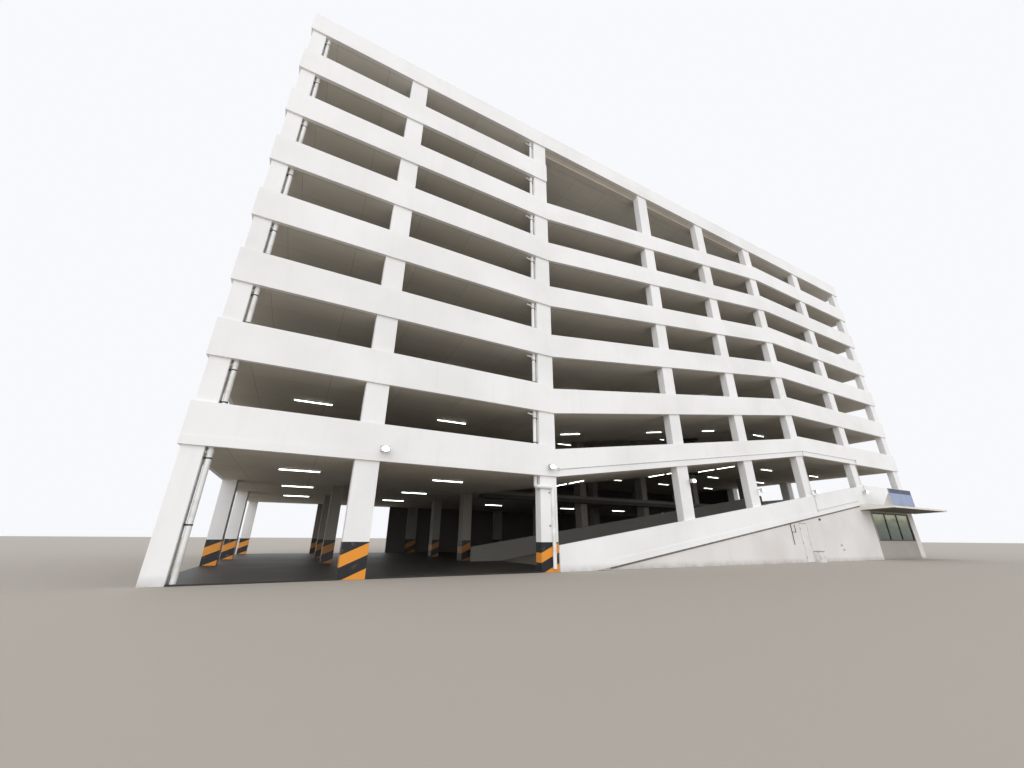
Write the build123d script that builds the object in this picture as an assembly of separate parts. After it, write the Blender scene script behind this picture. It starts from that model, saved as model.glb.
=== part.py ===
"""Open-sided white concrete car park of eight storeys, as a model at half the real size.

Level decks fill the left end, the right end and the hall behind. A strip along the front
holds straight ramps, one above the other, that rise from left to right, one storey each.
White parapets run round every level, and in front they follow the ramps.

Frame: the origin is the middle of the footprint on the ground. X runs along the front from
left to right, Y from the front to the back, Z up. All sizes are millimetres of the model.
"""
import os

from build123d import *

# Footprint. Bays are column centre to column centre along the front, from the left end. The
# ramps start at the right face of the column where the entrance bays end. The upper ones end at
# a column's right face, three bays on, and the ground ramp ends one bay further.
bay_widths = (2398, 3630, 4135, 2865, 2858, 3470, 3352)
entrance_bay_count = 2
upper_ramp_bay_count = 3
ground_ramp_bay_count = 4
depth = 11200
ramp_row_y = 4325
middle_row_y = 7175

# Columns. They stand back a little behind the faces of the parapets. Those inside are narrower
# and deeper, and stand a little to the left of their line, most of all at the entrance.
column_width = 400
column_depth = 200
inner_column_width = 250
inner_column_depth = 350
inner_column_shift = 75
entrance_inner_shift = 150
left_end_column_width = 280
right_end_column_width = 375
face_setback = 40

# Heights
ground_floor_thickness = 20
first_deck_height = 1925
storey_height = 1400
storey_count = 8
deck_thickness = 100

# Parapets and walls
parapet_thickness = 75
parapet_height = 550
roof_parapet_height = 475
ramp_parapet_height = 485
wall_thickness = 75
closed_storey_count = 2
rear_wall_lead = 1200

# Ramps
ramp_inner_edge = 3825
ramp_hall_gap = 25
ground_ramp_start = 508
ground_ramp_thickness = 75
ground_ramp_parapet_height = 535
inner_parapet_height = 490
inner_parapet_lead = 350
edge_beam_width = 300
edge_beam_depth = 115
roof_beam_width = 360
roof_beam_depth = 60

# Service door in the wall under the ground ramp. It swings outwards on three hinges.
doorway_offset = 8650
doorway_width = 420
doorway_lintel = 60
door_frame_width = 24
door_frame_depth = 50
door_leaf_thickness = 20
door_clearance = 6
handle_height = 500
handle_length = 60
handle_size = 8
handle_inset = 16
hinge_end_gap = 110
knuckle_radius = 6
knuckle_height = 25
knuckle_gap = 1
hinge_pin_radius = 2.5
hinge_pin_clearance = 0.06
hinge_leaf_width = 24
hinge_leaf_thickness = 3

# Low cabinet at the foot of the wall, beside the door
cabinet_gap = 10
cabinet_width = 275
cabinet_height = 310
cabinet_depth = 150
cabinet_lid_thickness = 14
cabinet_lid_overhang = 8

# Shop at the right end
shop_window_sill = 600
shop_window_head = 1550
shop_window_margin = 110
shop_window_end_margin = 20
window_frame_width = 45
window_frame_depth = 50
window_panes = 3
glass_thickness = 8

# Canopy and sign over the shop
canopy_overhang_left = 250
canopy_overhang_right = 300
canopy_reach = 900
canopy_wall_drop = 325
canopy_wall_thickness = 215
canopy_edge_drop = 285
canopy_edge_thickness = 60
sign_height = 550
sign_thickness = 30
sign_end_gap = 2700
sign_strut_count = 3
sign_strut_inset = 60
sign_strut_size = 30
sign_strut_reach = 240
sign_strut_height = 440

# Rainwater pipes. The one at the entrance turns forward under the first deck and runs down the
# front of the column.
pipe_radius = 38
pipe_gap = 30
pipe_parapet_gap = 7
pipe_bend_radius = 50
pipe_turn_drop = 225
pipe_front_offset = 80
pipe_foot_gap = 60

# Floodlights on short arms, one at each column from the second on. Each offset is counted from
# the column's middle to the right, and each rise from the first deck.
floodlight_width = 150
floodlight_height = 100
floodlight_depth = 60
floodlight_reach = 70
floodlight_arm_size = 20
floodlight_offsets = (245, 20, 175, 190, 190, 55)
floodlight_rises = (123, 102, 105, 33, 151, 331)

# Tube lights under the decks, in three rows a little to the right of each bay's middle. Under
# the ramps one to a bay runs along the slope, and under the lowest they lie across it in pairs.
tube_length = 740
tube_width = 50
tube_height = 36
tube_shift = 200
tube_rows = (2300, 4700, 7550)
entrance_tube_row = 1750
cross_tube_places = (2250, 6400, 9150)
cross_tube_rows = (2350, 3180)

# Lines of the plan, worked out from the sizes above
left_column_offset = face_setback + left_end_column_width / 2
right_column_offset = face_setback + right_end_column_width / 2
length = left_column_offset + sum(bay_widths) + right_column_offset
left_x = -length / 2
right_x = length / 2
front_y = -depth / 2
back_y = depth / 2

column_x = [left_x + left_column_offset]
for bay in bay_widths:
    column_x.append(column_x[-1] + bay)
column_widths = [left_end_column_width] + [column_width] * (len(bay_widths) - 1) + [right_end_column_width]

front_row_y = front_y + face_setback + column_depth / 2
back_row_y = back_y - face_setback - column_depth / 2
row_y = (front_row_y, front_y + ramp_row_y, front_y + middle_row_y, back_row_y)
row_depths = (column_depth, inner_column_depth, inner_column_depth, column_depth)

ramp_end_column = entrance_bay_count + upper_ramp_bay_count
ground_ramp_end_column = entrance_bay_count + ground_ramp_bay_count
ramp_start_x = column_x[entrance_bay_count] + column_width / 2
ramp_end_x = column_x[ramp_end_column] + column_width / 2
ground_ramp_end_x = column_x[ground_ramp_end_column] + column_width / 2

hall_front_y = front_y + ramp_inner_edge + ramp_hall_gap
inner_parapet_y = front_y + ramp_inner_edge - parapet_thickness
parapet_back_y = front_y + parapet_thickness
wall_front_y = front_y + face_setback
wall_back_y = wall_front_y + wall_thickness


def deck_top(level):
    """Height of a level's surface. Level 0 is the ground floor, level 8 the roof."""
    if level == 0:
        return ground_floor_thickness
    return first_deck_height + (level - 1) * storey_height


def block(x0, x1, y0, y1, z0, z1):
    """Upright rectangular block between two corners."""
    middle = ((x0 + x1) / 2, (y0 + y1) / 2, (z0 + z1) / 2)
    return Pos(*middle) * Box(x1 - x0, y1 - y0, z1 - z0)


def run_along_y(outline, y0, y1):
    """Solid with an outline in X and Z, carried from y0 to y1."""
    face = make_face(Polyline(*[(x, y0, z) for x, z in outline], close=True))
    return extrude(face, amount=y1 - y0, dir=(0, 1, 0))


def run_along_x(outline, x0, x1):
    """Solid with an outline in Y and Z, carried from x0 to x1."""
    face = make_face(Polyline(*[(x0, y, z) for y, z in outline], close=True))
    return extrude(face, amount=x1 - x0, dir=(1, 0, 0))


def solids_of(shapes):
    """Every single solid in a list of shapes."""
    found = []
    for shape in shapes:
        found.extend(shape.solids())
    return found


def cut_by(shape, others):
    """A shape less every other one whose box it meets."""
    box = shape.bounding_box()
    for other in others:
        reach = other.bounding_box()
        apart_x = reach.max.X <= box.min.X or reach.min.X >= box.max.X
        apart_y = reach.max.Y <= box.min.Y or reach.min.Y >= box.max.Y
        apart_z = reach.max.Z <= box.min.Z or reach.min.Z >= box.max.Z
        if not (apart_x or apart_y or apart_z):
            shape = shape - other
    return shape


def save(name, *shapes):
    """Write one sub-part as a STEP file."""
    export_step(Compound(children=solids_of(shapes)), f"parts/{name}.step")


def ramp_strip_end(level):
    """Right end of the opening for the ramps in a deck."""
    return ground_ramp_end_x if level == 1 else ramp_end_x


# Ground ramp surface: a straight line from the ground floor to the first deck
ground_ramp_foot_x = ramp_start_x + ground_ramp_start
ground_ramp_rise = first_deck_height - ground_floor_thickness
ground_ramp_slope = ground_ramp_rise / (ground_ramp_end_x - ground_ramp_foot_x)


def ground_ramp_surface(x):
    """Height of the ground ramp's surface line, also where it runs on below the floor."""
    return ground_floor_thickness + (x - ground_ramp_foot_x) * ground_ramp_slope


def ground_ramp_x(z):
    """Place along X where the ground ramp's surface line has a height."""
    return ground_ramp_foot_x + (z - ground_floor_thickness) / ground_ramp_slope


def make_ground_parapet():
    """Outer parapet of the ground ramp, which runs on level along the first deck."""
    level_bottom = first_deck_height - deck_thickness
    level_top = first_deck_height + parapet_height
    ramp_end_bottom = first_deck_height - ground_ramp_thickness
    ramp_end_top = first_deck_height + ground_ramp_parapet_height
    outline = [
        (ramp_start_x, 0),
        (ground_ramp_x(ground_ramp_thickness), 0),
        (ground_ramp_end_x, ramp_end_bottom),
        (ground_ramp_end_x, level_bottom),
        (right_x, level_bottom),
        (right_x, level_top),
        (ground_ramp_end_x, level_top),
        (ground_ramp_end_x, ramp_end_top),
        (ramp_start_x, ground_ramp_surface(ramp_start_x) + ground_ramp_parapet_height),
    ]
    return run_along_y(outline, front_y, parapet_back_y)


def make_front_parapet(level):
    """White band in front: level at the left end, up along the ramp, level at the right end."""
    low = deck_top(level) - deck_thickness
    high = low + storey_height
    ramp_band = deck_thickness + ramp_parapet_height
    level_band = deck_thickness + parapet_height
    start_middle_x = column_x[entrance_bay_count]
    end_middle_x = column_x[ramp_end_column]
    slope = storey_height / (ramp_end_x - ramp_start_x)
    top_at_end_column = high + ramp_band - slope * (ramp_end_x - end_middle_x)
    outline = [
        (left_x, low),
        (ramp_start_x, low),
        (ramp_end_x, high),
        (right_x, high),
        (right_x, high + level_band),
        (end_middle_x, high + level_band),
        (end_middle_x, top_at_end_column),
        (ramp_start_x, low + ramp_band),
        (start_middle_x, low + ramp_band),
        (start_middle_x, low + level_band),
        (left_x, low + level_band),
    ]
    return run_along_y(outline, front_y, parapet_back_y)


def make_top_left_parapet(level):
    """Band of the top deck, which ends at the column where the last ramp starts."""
    bottom = deck_top(level) - deck_thickness
    top = deck_top(level) + parapet_height
    return block(left_x, ramp_start_x, front_y, parapet_back_y, bottom, top)


def band_heights(level):
    """Bottom and top of the parapet band round one level."""
    height = roof_parapet_height if level == storey_count else parapet_height
    return deck_top(level) - deck_thickness, deck_top(level) + height


def make_deck(level):
    """Floor slab with the opening for the ramp strip, or the whole roof slab."""
    bottom = deck_top(level) - deck_thickness
    top = deck_top(level)
    inner_left = left_x + parapet_thickness
    inner_right = right_x - parapet_thickness
    inner_back = back_y - parapet_thickness
    slab = block(inner_left, inner_right, parapet_back_y, inner_back, bottom, top)
    if level == storey_count:
        return slab
    return slab - block(ramp_start_x, ramp_strip_end(level), front_y, hall_front_y, bottom, top)


def make_ramp(level):
    """Sloping slab from one deck up to the next, without the columns that pass through it."""
    low = deck_top(level)
    high = low + storey_height
    outline = [
        (ramp_start_x, low - deck_thickness),
        (ramp_end_x, high - deck_thickness),
        (ramp_end_x, high),
        (ramp_start_x, low),
    ]
    return run_along_y(outline, parapet_back_y, front_y + ramp_inner_edge)


def make_ground_ramp():
    """Sloping slab from the ground floor up to the first deck."""
    foot = ground_floor_thickness
    outline = [
        (ground_ramp_foot_x, foot),
        (ground_ramp_x(foot + ground_ramp_thickness), foot),
        (ground_ramp_end_x, first_deck_height - ground_ramp_thickness),
        (ground_ramp_end_x, first_deck_height),
    ]
    return run_along_y(outline, parapet_back_y, front_y + ramp_inner_edge)


def make_inner_parapet(level):
    """Parapet on a ramp's inner edge."""
    y0 = inner_parapet_y
    y1 = front_y + ramp_inner_edge
    if level == 0:
        start = ramp_start_x - inner_parapet_lead
        outline = [
            (start, ground_floor_thickness),
            (ground_ramp_foot_x, ground_floor_thickness),
            (ground_ramp_end_x, first_deck_height),
            (ground_ramp_end_x, first_deck_height + inner_parapet_height),
            (start, ground_ramp_surface(start) + inner_parapet_height),
        ]
        return run_along_y(outline, y0, y1)
    low = deck_top(level)
    high = low + storey_height
    outline = [
        (ramp_start_x, low),
        (ramp_end_x, high),
        (ramp_end_x, high + inner_parapet_height),
        (ramp_start_x, low + inner_parapet_height),
    ]
    return run_along_y(outline, y0, y1)


def in_ramp_strip(column, row, level):
    """Whether a column stands in a level's opening for the ramps."""
    if row > 0 or level in (0, storey_count):
        return False
    return ramp_start_x < column_x[column] < ramp_strip_end(level)


def make_columns(level):
    """Columns of one storey. In the ramp strip they run on to the next storey's columns."""
    posts = []
    for column, line_x in enumerate(column_x):
        for row, y in enumerate(row_y):
            half_width = column_widths[column] / 2
            x = line_x
            if row_depths[row] == inner_column_depth and 0 < column < len(bay_widths):
                half_width = inner_column_width / 2
                x -= entrance_inner_shift if column == entrance_bay_count else inner_column_shift
            bottom = 0 if level == 0 else deck_top(level)
            top = deck_top(level + 1)
            if not in_ramp_strip(column, row, level + 1):
                top -= deck_thickness
            y0 = y - row_depths[row] / 2
            y1 = y + row_depths[row] / 2
            posts.append(block(x - half_width, x + half_width, y0, y1, bottom, top))
    return posts


def make_ramp_wall():
    """Wall that closes the wedge under the ground ramp, and the piece of it over the doorway."""
    end_x = column_x[ground_ramp_end_column]
    start_x = ground_ramp_x(ground_ramp_thickness)
    outline = [
        (start_x, 0),
        (end_x, 0),
        (end_x, ground_ramp_surface(end_x) - ground_ramp_thickness),
    ]
    wall = run_along_y(outline, wall_front_y, wall_back_y)
    door_strip = block(doorway_left_x, doorway_right_x, wall_front_y, wall_back_y, 0, first_deck_height)
    over_door = block(
        doorway_left_x, doorway_right_x, wall_front_y, wall_back_y, doorway_height, first_deck_height)
    return wall - door_strip, wall & over_door


doorway_left_x = ramp_start_x + doorway_offset
doorway_right_x = doorway_left_x + doorway_width
doorway_height = ground_ramp_surface(doorway_left_x) - ground_ramp_thickness - doorway_lintel
leaf_left_x = doorway_left_x + door_frame_width + door_clearance
leaf_right_x = doorway_right_x - door_frame_width - door_clearance
hinge_x = leaf_left_x - door_clearance / 2
hinge_y = wall_front_y - knuckle_radius
leaf_top = doorway_height - door_frame_width - door_clearance
low_hinge = door_clearance + hinge_end_gap
high_hinge = leaf_top - hinge_end_gap - 2 * knuckle_height - knuckle_gap
hinge_heights = (low_hinge, (low_hinge + high_hinge) / 2, high_hinge)


def upright_cylinder(radius, z0, z1):
    """Round bar on the door's hinge line."""
    return Pos(hinge_x, hinge_y, (z0 + z1) / 2) * Cylinder(radius, z1 - z0)


def make_door_frame():
    """Two jambs and a head, with the fixed lower half and the pin of each hinge."""
    y1 = wall_front_y + door_frame_depth
    frame = block(doorway_left_x, doorway_right_x, wall_front_y, y1, 0, doorway_height)
    frame -= block(
        doorway_left_x + door_frame_width, doorway_right_x - door_frame_width,
        wall_front_y - 1, y1 + 1, -1, doorway_height - door_frame_width)
    for z in hinge_heights:
        plate = block(
            hinge_x - hinge_leaf_width, hinge_x, wall_front_y - hinge_leaf_thickness, wall_front_y,
            z, z + knuckle_height)
        pin_top = z + 2 * knuckle_height + knuckle_gap
        frame += plate + upright_cylinder(knuckle_radius, z, z + knuckle_height)
        frame += upright_cylinder(hinge_pin_radius, z, pin_top)
    return frame


def make_door_leaf():
    """Flush leaf, closed in its frame, with a lever handle and the upper half of each hinge."""
    leaf = block(
        leaf_left_x, leaf_right_x, wall_front_y, wall_front_y + door_leaf_thickness,
        door_clearance, leaf_top)
    neck_x = leaf_right_x - handle_inset
    neck_y = wall_front_y - 3 * handle_size
    z0 = handle_height
    z1 = handle_height + handle_size
    neck = block(neck_x - handle_size, neck_x, neck_y, wall_front_y, z0, z1)
    lever = block(neck_x - handle_length, neck_x, neck_y - handle_size, neck_y, z0, z1)
    leaf = leaf + neck + lever
    for z in hinge_heights:
        low = z + knuckle_height + knuckle_gap
        plate = block(
            hinge_x, hinge_x + hinge_leaf_width, wall_front_y - hinge_leaf_thickness, wall_front_y,
            low, low + knuckle_height)
        leaf += plate + upright_cylinder(knuckle_radius, low, low + knuckle_height)
        leaf -= upright_cylinder(hinge_pin_radius + hinge_pin_clearance, low - 1, low + knuckle_height + 1)
    return leaf


def make_rear_walls():
    """Panels between the rear columns that close the back of the lowest storeys."""
    start_x = ramp_start_x - rear_wall_lead
    y1 = back_y - face_setback
    y0 = y1 - wall_thickness
    panels = []
    for level in range(closed_storey_count):
        bottom = deck_top(level) if level == 0 else deck_top(level) + parapet_height
        top = deck_top(level + 1) - deck_thickness
        for bay in range(len(bay_widths)):
            x0 = column_x[bay] + column_widths[bay] / 2
            x1 = column_x[bay + 1] - column_widths[bay + 1] / 2
            if level == 0:
                x0 = max(x0, start_x)
            if x0 < x1:
                panels.append(block(x0, x1, y0, y1, bottom, top))
    # Above the ground storey the rear bay of the right end is closed in the same way.
    end_x = right_x - face_setback
    for level in range(1, closed_storey_count):
        panels.append(block(
            end_x - wall_thickness, end_x, row_y[2] + inner_column_depth / 2, back_row_y - column_depth / 2,
            deck_top(level) + parapet_height, deck_top(level + 1) - deck_thickness))
    return panels


def make_cabinet():
    """Low cabinet against the wall, with a lid that stands out a little."""
    x0 = doorway_right_x + cabinet_gap + cabinet_lid_overhang
    x1 = x0 + cabinet_width
    y0 = wall_front_y - cabinet_depth
    body = block(x0, x1, y0, wall_front_y, 0, cabinet_height - cabinet_lid_thickness)
    lid = block(
        x0 - cabinet_lid_overhang, x1 + cabinet_lid_overhang, y0 - cabinet_lid_overhang, wall_front_y,
        cabinet_height - cabinet_lid_thickness, cabinet_height)
    return body + lid


def make_shop_walls():
    """Front wall with the window opening, and the wall round the right end."""
    top = first_deck_height - deck_thickness
    front = block(ground_ramp_end_x, corner_left_x, wall_front_y, wall_back_y, 0, top)
    front -= block(
        window_left_x, window_right_x, front_y, wall_back_y + 1, shop_window_sill, shop_window_head)
    side_x = right_x - face_setback
    side_y0 = row_y[0] + column_depth / 2
    side_y1 = row_y[1] - inner_column_depth / 2
    side = block(side_x - wall_thickness, side_x, side_y0, side_y1, 0, top)
    return front, side


corner_left_x = column_x[-1] - right_end_column_width / 2
window_left_x = ground_ramp_end_x + shop_window_margin
window_right_x = corner_left_x - shop_window_end_margin


def make_window_frame():
    """Dark window frame with upright bars between the panes."""
    y0 = wall_front_y + (wall_thickness - window_frame_depth) / 2
    y1 = y0 + window_frame_depth
    frame = block(window_left_x, window_right_x, y0, y1, shop_window_sill, shop_window_head)
    pitch = (window_right_x - window_left_x - window_frame_width) / window_panes
    for pane in range(window_panes):
        x0 = window_left_x + window_frame_width + pane * pitch
        x1 = x0 + pitch - window_frame_width
        z0 = shop_window_sill + window_frame_width
        z1 = shop_window_head - window_frame_width
        frame -= block(x0, x1, y0 - 1, y1 + 1, z0, z1)
    return frame


def make_window_glass():
    """Panes of glass, one behind each opening of the frame."""
    y0 = wall_front_y + (wall_thickness - glass_thickness) / 2
    pitch = (window_right_x - window_left_x - window_frame_width) / window_panes
    panes = []
    for pane in range(window_panes):
        x0 = window_left_x + window_frame_width + pane * pitch
        x1 = x0 + pitch - window_frame_width
        z0 = shop_window_sill + window_frame_width
        z1 = shop_window_head - window_frame_width
        panes.append(block(x0, x1, y0, y0 + glass_thickness, z0, z1))
    return panes


canopy_left_x = ground_ramp_end_x - column_width - canopy_overhang_left
canopy_right_x = right_x + canopy_overhang_right
canopy_front_y = front_y - canopy_reach
canopy_wall_underside = first_deck_height - canopy_wall_drop
canopy_wall_top = canopy_wall_underside + canopy_wall_thickness
canopy_edge_underside = first_deck_height - canopy_edge_drop
canopy_edge_top = canopy_edge_underside + canopy_edge_thickness


def make_canopy():
    """Wedge-shaped concrete canopy, thick at the wall and thin at its front edge."""
    outline = [
        (wall_front_y, canopy_wall_underside),
        (wall_front_y, canopy_wall_top),
        (canopy_front_y, canopy_edge_top),
        (canopy_front_y, canopy_edge_underside),
    ]
    return run_along_x(outline, canopy_left_x, canopy_right_x)


def make_sign():
    """Bare board on the canopy's front edge, with raking struts behind it."""
    x1 = canopy_right_x - sign_end_gap
    board_back = canopy_front_y + sign_thickness
    strut_foot_y = board_back + sign_strut_reach
    slope = (canopy_wall_top - canopy_edge_top) / (wall_front_y - canopy_front_y)
    board_outline = [
        (canopy_front_y, canopy_edge_top),
        (board_back, canopy_edge_top + slope * sign_thickness),
        (board_back, canopy_edge_top + sign_height),
        (canopy_front_y, canopy_edge_top + sign_height),
    ]
    strut_outline = [
        (board_back, canopy_edge_top + slope * sign_thickness),
        (strut_foot_y, canopy_edge_top + slope * (sign_thickness + sign_strut_reach)),
        (board_back, canopy_edge_top + sign_strut_height),
    ]
    sign = run_along_x(board_outline, canopy_left_x, x1)
    first_x = canopy_left_x + sign_strut_inset
    pitch = (x1 - first_x - sign_strut_inset - sign_strut_size) / (sign_strut_count - 1)
    for strut in range(sign_strut_count):
        x0 = first_x + strut * pitch
        sign += run_along_x(strut_outline, x0, x0 + sign_strut_size)
    return sign


def make_entrance_pipe(x, y, top):
    """Bent pipe that crosses in front of the entrance column and runs down its face."""
    turn_z = top - pipe_turn_drop
    column_front = wall_front_y - pipe_radius
    down_x = column_x[entrance_bay_count] + pipe_front_offset
    path = FilletPolyline(
        (x, y, top), (x, y, turn_z), (x, column_front, turn_z), (down_x, column_front, turn_z),
        (down_x, column_front, pipe_foot_gap), radius=pipe_bend_radius)
    return sweep(Plane(origin=path @ 0, z_dir=path % 0) * Circle(pipe_radius), path=path)


def make_pipes():
    """Rainwater pipes beside two of the front columns, one length to a storey."""
    pipes = []
    y = parapet_back_y + pipe_parapet_gap + pipe_radius
    end_x = column_x[0] + left_end_column_width / 2 + pipe_gap + pipe_radius
    entrance_x = column_x[entrance_bay_count] - column_width / 2 - pipe_gap - pipe_radius
    for level in range(storey_count):
        bottom = deck_top(level)
        top = deck_top(level + 1) - deck_thickness
        middle_z = (bottom + top) / 2
        pipes.append(Pos(end_x, y, middle_z) * Cylinder(pipe_radius, top - bottom))
        if level == 0:
            pipes.append(make_entrance_pipe(entrance_x, y, top))
        else:
            pipes.append(Pos(entrance_x, y, middle_z) * Cylinder(pipe_radius, top - bottom))
    return pipes


def make_floodlights():
    """Floodlights on arms, carried by the front parapet or by a column's face."""
    lights = []
    for column, rise in enumerate(floodlight_rises, start=1):
        x = column_x[column] + floodlight_offsets[column - 1] - floodlight_arm_size / 2
        z = first_deck_height + rise
        on_column = entrance_bay_count < column < ground_ramp_end_column
        wall_y = wall_front_y if on_column else front_y
        arm_y = front_y - floodlight_reach
        arm = block(x, x + floodlight_arm_size, arm_y, wall_y, z, z + floodlight_arm_size)
        head = block(
            x - floodlight_width / 2, x + floodlight_width / 2, arm_y - floodlight_depth, arm_y,
            z + floodlight_arm_size - floodlight_height, z + floodlight_arm_size)
        lights.append(arm + head)
    return lights


def make_ramp_tube(level, x0, x1, y0, y1):
    """Tube light under one of the upper ramps, with its top along the ramp's underside."""
    slope = storey_height / (ramp_end_x - ramp_start_x)
    low = deck_top(level) - deck_thickness
    z0 = low + (x0 - ramp_start_x) * slope
    z1 = low + (x1 - ramp_start_x) * slope
    return run_along_y([(x0, z0 - tube_height), (x1, z1 - tube_height), (x1, z1), (x0, z0)], y0, y1)


def make_tube_lights():
    """Tube lights fixed under the decks, in rows, and under the ramps."""
    tubes = []
    half_length = tube_length / 2
    half_width = tube_width / 2
    for place in cross_tube_places:
        x = ramp_start_x + place
        for row in cross_tube_rows:
            y = front_y + row
            tubes.append(make_ramp_tube(1, x - half_width, x + half_width, y - half_length, y + half_length))
    for level in range(2, storey_count - 1):
        y = front_y + tube_rows[0]
        for bay in range(entrance_bay_count, ramp_end_column):
            x = (column_x[bay] + column_x[bay + 1]) / 2 + tube_shift
            tubes.append(make_ramp_tube(level, x - half_length, x + half_length, y - half_width, y + half_width))
    for level in range(storey_count):
        z = deck_top(level + 1) - deck_thickness
        for bay in range(len(bay_widths)):
            x = (column_x[bay] + column_x[bay + 1]) / 2 + tube_shift
            first_row = entrance_tube_row if bay < entrance_bay_count else tube_rows[0]
            for row in (first_row, *tube_rows[1:]):
                y = front_y + row
                over_ramps = y < hall_front_y and level + 1 < storey_count
                if over_ramps and ramp_start_x < x < ramp_strip_end(level + 1):
                    continue
                tubes.append(block(
                    x - half_length, x + half_length, y - half_width, y + half_width, z - tube_height, z))
    return tubes


def make_edge_beams():
    """Downstand beams under the decks along the ramp strip, and along the roof's front."""
    beams = []
    for level in range(1, storey_count):
        top = deck_top(level) - deck_thickness
        beams.append(block(
            ramp_start_x, ramp_strip_end(level), hall_front_y, hall_front_y + edge_beam_width,
            top - edge_beam_depth, top))
    top = deck_top(storey_count) - deck_thickness
    back = parapet_back_y + roof_beam_width
    beams.append(block(ramp_start_x, ramp_end_x, front_row_y + column_depth / 2, back, top - roof_beam_depth, top))
    return beams


os.makedirs("parts", exist_ok=True)

ground_parapet = make_ground_parapet()
front_parapets = [make_front_parapet(level) for level in range(1, storey_count - 1)]
top_left_parapet = make_top_left_parapet(storey_count - 1)
bottom, top = band_heights(storey_count)
roof_front_parapet = block(left_x, right_x, front_y, parapet_back_y, bottom, top)
front_bands = [ground_parapet] + front_parapets + [top_left_parapet, roof_front_parapet]

save("ground_ramp_parapet", ground_parapet)
for level, parapet in enumerate(front_parapets, start=1):
    save(f"front_parapet_{level}", parapet)
save(f"front_parapet_{storey_count - 1}", top_left_parapet)
save("roof_parapet_front", roof_front_parapet)

left_bands = []
right_bands = []
rear_bands = []
for level in range(1, storey_count + 1):
    bottom, top = band_heights(level)
    side_y0 = parapet_back_y
    side_y1 = back_y - parapet_thickness
    left_bands.append(block(left_x, left_x + parapet_thickness, side_y0, side_y1, bottom, top))
    right_bands.append(block(right_x - parapet_thickness, right_x, side_y0, side_y1, bottom, top))
    rear_bands.append(block(left_x, right_x, back_y - parapet_thickness, back_y, bottom, top))
save("left_parapets", *left_bands)
save("right_parapets", *right_bands)
save("rear_parapets", *rear_bands)

all_bands = front_bands + left_bands + right_bands + rear_bands
columns = []
for level in range(storey_count):
    columns.append([cut_by(post, all_bands) for post in make_columns(level)])
save("columns_ground", *columns[0])
for level in range(1, storey_count):
    save(f"columns_level_{level}", *columns[level])

ramp_wall, door_lintel = make_ramp_wall()
ramp_wall = cut_by(ramp_wall, columns[0])
shop_walls = make_shop_walls()
grounded = columns[0] + [ground_parapet, ramp_wall] + list(shop_walls)
floor_slab = block(
    left_x + face_setback, right_x - face_setback, wall_front_y, back_y - face_setback,
    0, ground_floor_thickness)
doorstep = block(
    doorway_left_x, doorway_right_x, wall_front_y, wall_back_y, 0, ground_floor_thickness)
save("ground_floor", cut_by(floor_slab - doorstep, grounded))
for level in range(1, storey_count):
    save(f"deck_{level}", make_deck(level))
save("roof_slab", make_deck(storey_count))

save("ramp_0", cut_by(make_ground_ramp(), columns[0]))
upper_ramps = []
for level in range(1, storey_count - 1):
    upper_ramps.append(cut_by(make_ramp(level), columns[level]))
save("upper_ramps", *upper_ramps)
save("ramp_inner_parapets", *[make_inner_parapet(level) for level in range(storey_count - 1)])
save("edge_beams", *make_edge_beams())

save("ramp_wall", ramp_wall)
save("service_door_lintel", door_lintel)
save("rear_walls", *make_rear_walls())
save("service_door_frame", make_door_frame())
save("service_door", make_door_leaf())
save("wall_cabinet", make_cabinet())
save("shop_walls", *shop_walls)
save("shop_window_frame", make_window_frame())
save("shop_window_glass", *make_window_glass())
save("shop_canopy", cut_by(make_canopy(), [ground_parapet]))
save("shop_sign", make_sign())
save("rainwater_pipes", *make_pipes())
save("floodlights", *make_floodlights())
save("tube_lights", *make_tube_lights())
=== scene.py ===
"""Open-sided white concrete car park of eight storeys, dressed as it is built: frame, decks,
ramps, walls, shop, pipes and lamps. Metres of the half-size model, in the frame of its solids."""
import math

import bpy
from mathutils import Matrix, Vector


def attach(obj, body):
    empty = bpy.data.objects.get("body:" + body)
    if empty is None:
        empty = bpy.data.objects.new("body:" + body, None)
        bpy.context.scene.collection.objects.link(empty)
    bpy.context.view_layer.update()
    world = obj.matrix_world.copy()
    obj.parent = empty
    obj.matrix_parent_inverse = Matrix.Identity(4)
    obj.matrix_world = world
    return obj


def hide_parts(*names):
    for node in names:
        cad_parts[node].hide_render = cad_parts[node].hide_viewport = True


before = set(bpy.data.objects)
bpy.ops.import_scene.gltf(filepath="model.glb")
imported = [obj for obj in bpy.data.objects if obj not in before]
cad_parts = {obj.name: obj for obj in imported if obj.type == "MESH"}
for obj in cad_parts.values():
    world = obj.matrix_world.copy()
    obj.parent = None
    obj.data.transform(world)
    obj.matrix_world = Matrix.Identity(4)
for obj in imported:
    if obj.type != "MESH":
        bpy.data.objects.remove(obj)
bpy.ops.object.select_all(action="DESELECT")
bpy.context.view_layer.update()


# Camera. It stands on the ground to the left of the entrance, at the height of a held phone,
# and looks up and to the right through a wide lens.
camera_place = Vector((-9.9023, -12.6125, 0.6105))
camera_yaw, camera_pitch, camera_roll = (math.radians(a) for a in (27.554, 21.461, 0.398))
camera_forward = Vector((
    math.sin(camera_yaw) * math.cos(camera_pitch),
    math.cos(camera_yaw) * math.cos(camera_pitch),
    math.sin(camera_pitch)))
level_right = Vector((math.cos(camera_yaw), -math.sin(camera_yaw), 0))
level_up = level_right.cross(camera_forward)
camera_right = math.cos(camera_roll) * level_right + math.sin(camera_roll) * level_up
camera_up = math.cos(camera_roll) * level_up - math.sin(camera_roll) * level_right
camera_turn = Matrix((camera_right, camera_up, -camera_forward)).transposed().to_4x4()
bpy.ops.object.camera_add()
camera = bpy.context.object
camera.name = "street_camera"
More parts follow.
